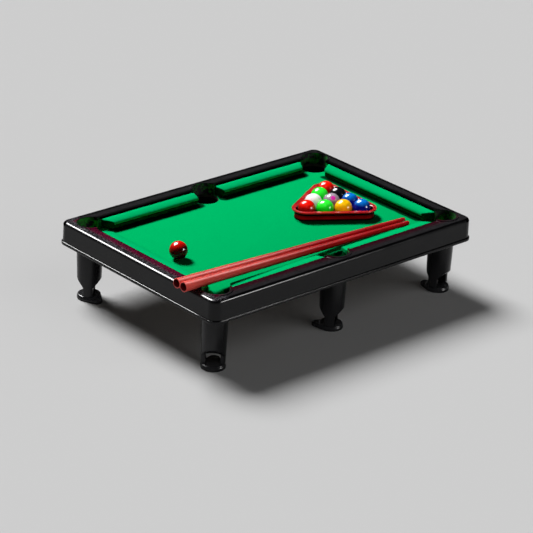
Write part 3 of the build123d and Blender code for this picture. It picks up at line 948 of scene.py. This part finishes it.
def make_rack(material, wall_material):
    """The triangle: one cross-section swept around three rounded corners, a little wavy along its sides."""
    corners = [middle(name) for name in ("ball_1", "ball_4", "ball_10")]
    centre = sum(corners, Vector()) / 3
    foot = box("rack")[0].z
    rings = []
    for grow, up in RACK_PROFILE:
        arcs = rack_arcs(corners, centre, grow, foot + up)
        ring = []
        for index, arc in enumerate(arcs):
            following = arcs[(index + 1) % 3]
            ring += arc + rack_side(index, arc[-1], following[0], centre, up > 7)
        rings.append(ring)
    mesh = skin("rack_moulded", rings, 50.0, loop=True)
    add_piece("rack_moulded", mesh, "rack", "rack_plastic", material)
    mesh.materials.append(wall_material)
    for face in mesh.polygons:
        if face.center.z / MM < foot + RACK_WALL_TOP:
            face.material_index = 1


# ---------------------------------------------------------------- cues

CUE_DOME = 1.5                         # length of the domed tip
CUE_FERRULE = 7.0                      # tip to the line around the ferrule
CUE_BUTT_ROUND = 0.3                   # length of the rounding at the butt
CUE_GROOVE = 0.12                      # depth of the line


def cue_ends(name):
    """Centres of a cue's butt and tip, and the radius of its butt."""
    joint = next(joint for joint in frame["joints"] if joint["child"] == name)
    towards_butt = Vector(joint["axis"]).normalized()
    points = [vertex.co / MM for vertex in NODES[name].data.vertices]
    reach = [point.dot(towards_butt) for point in points]
    rims = []
    for limit in (max(reach), min(reach)):
        rims.append([point for point, along in zip(points, reach) if abs(along - limit) < 0.01])
    butt, tip = (sum(rim, Vector()) / len(rim) for rim in rims)
    return butt, tip, max((point - butt).length for point in rims[0])


def cue_profile(length, radius):
    """Distances along a cue and radii, from the end of its bore round the butt to its tip."""
    bore_end = CUE_BORE_END * length
    bore_r = radius(0.0) - CUE_WALL
    butt_r = radius(0.0)
    body_end = length - CUE_FERRULE
    body_steps = 24
    profile = [(bore_end, 0.0), (bore_end, radius(bore_end) - CUE_WALL), (0.5, bore_r), (0.12, bore_r + 0.08)]
    profile += [(0.0, bore_r + 0.22), (0.0, butt_r - 0.22), (0.08, butt_r - 0.06)]
    for step in range(body_steps + 1):
        along = CUE_BUTT_ROUND + (body_end - CUE_BUTT_ROUND) * step / body_steps
        profile.append((along, radius(along)))
    groove_r = radius(body_end) - CUE_GROOVE
    profile += [(body_end + 0.15, groove_r), (body_end + 0.55, groove_r), (body_end + 0.7, radius(body_end))]
    tip_r = radius(length)
    for step in range(7):
        angle = radians(15 * step)
        profile.append((length - CUE_DOME + CUE_DOME * sin(angle), tip_r * cos(angle)))
    return profile


def make_cue(name, material, shaded_bore_material):
    """A tapered tube with an open, rounded butt, a ferrule line and a domed tip."""
    butt, tip, butt_r = cue_ends(name)
    length = (tip - butt).length

    def radius(along):
        return butt_r - butt_r / 2 * along / length

    mesh = lathe(f"{name}_moulded", cue_profile(length, radius), butt, tip - butt, 56, 35.0)
    add_piece(f"{name}_moulded", mesh, name, "cue_plastic", material)
    # Painted shade: the bore's inside gets a much darker red.
    mesh.materials.append(shaded_bore_material)
    way = (tip - butt).normalized()
    for face in mesh.polygons:
        spot = face.center / MM - butt
        off_axis = (spot - way * spot.dot(way)).length
        if off_axis < radius(spot.dot(way)) - CUE_WALL * 0.7:
            face.material_index = 1


# ---------------------------------------------------------------- legs and feet

def make_moulding(node, material, passes):
    """A CAD shape with its edges rounded as in a mould."""
    mesh = NODES[node].data.copy()
    mesh.materials.clear()
    holder = bpy.data.objects.new("moulding", mesh)
    bpy.context.scene.collection.objects.link(holder)
    remesh = holder.modifiers.new("remesh", "REMESH")
    remesh.mode = "VOXEL"
    remesh.voxel_size = MOULD_VOXEL * MM
    smooth = holder.modifiers.new("smooth", "SMOOTH")
    smooth.factor = 0.5
    smooth.iterations = passes
    depsgraph = bpy.context.evaluated_depsgraph_get()
    rounded = bpy.data.meshes.new_from_object(holder.evaluated_get(depsgraph))
    bpy.data.objects.remove(holder)
    rounded.shade_smooth()
    add_piece(f"{node}_moulded", rounded, node, "leg_plastic", material)


# ---------------------------------------------------------------- the whole scene

make_camera()
make_world(0.024)
key = make_sun("key", (-0.02, 0.64, 0.77), 3.8, 17)
floor_key = make_sun("floor_key", (-0.02, 0.65, 0.76), 3.90, 28)
floor_fill = make_sun("floor_fill", (0.3, -0.75, 0.6), 0.36, 50)
front_fill = make_sun("front_fill", (-0.45, -0.40, 0.80), 1.7, 30, gloss=False)
make_sun("key_gloss", (-0.02, 0.64, 0.77), 12.5, 38, diffuse=False)
front_panel = make_panel("front_panel", (-0.15, -0.10, 0.07), (0.58, -0.75, 0.31), 1.1, 0.16, 11.0)
side_panel = make_panel("side_panel", (-0.14, -0.08, 0.07), (0.62, 0.06, 0.78), 0.5, 0.15, 2.2)
make_floor()

red = cue_material()
rack_red = plastic_material("rack_plastic", (0.40, 0.001, 0.003), 0.26, level=0.36)
# Painted shade inside the cues' bores.
shaded_bore_red = plastic_material("red_plastic_bore_painted_shade", (0.05, 0.001, 0.002), 0.6, level=0.2)
leg_black = plastic_material("leg_plastic", (0.010, 0.010, 0.011), 0.22, level=0.22)
steel = steel_material()
# The cups' faint green tint is a painted reflection of the felt.
cup_black = plastic_material("cup_plastic", (0.004, 0.007, 0.005), 0.55, level=0.2)
cushion_green = cushion_material()
cushion_shaded_end_green = cushion_shaded_end_material()

finish_frame()
give(NODES["bed_board"], board_material())
give(NODES["bed_screws"], steel)
give(NODES["cup_screws"], steel)
for place in PLACES:
    give(NODES[f"pocket_cup_{place}"], cup_black)
    make_moulding(f"leg_{place}", leg_black, LEG_PASSES)
    make_moulding(f"foot_{place}", leg_black, FOOT_PASSES)

make_felt(bed_material())
for name in CUSHIONS:
    make_cushion(name, cushion_green, cushion_shaded_end_green)

make_balls()
make_rack(rack_red, rack_wall_material())
make_cue("cue_near", red, shaded_bore_red)
make_cue("cue_far", red, shaded_bore_red)

LOOSE = ("ball_", "cue_", "rack")
TABLE = ("bed_", "cushion_", "frame_", "pocket_", "cup_", "leg_", "foot_")
light_only(key, LOOSE + TABLE)
light_only(floor_key, ("floor",))
light_only(floor_fill, ("floor",))
light_only(front_fill, ("ball_", "cue_near", "cue_far", "rack", "leg_", "foot_"))
light_only(front_panel, ("ball_", "cue_ball", "rack", "frame_", "leg_", "foot_"))
light_only(side_panel, ("cue_near", "cue_far"))

bpy.context.scene.view_settings.view_transform = "Standard"
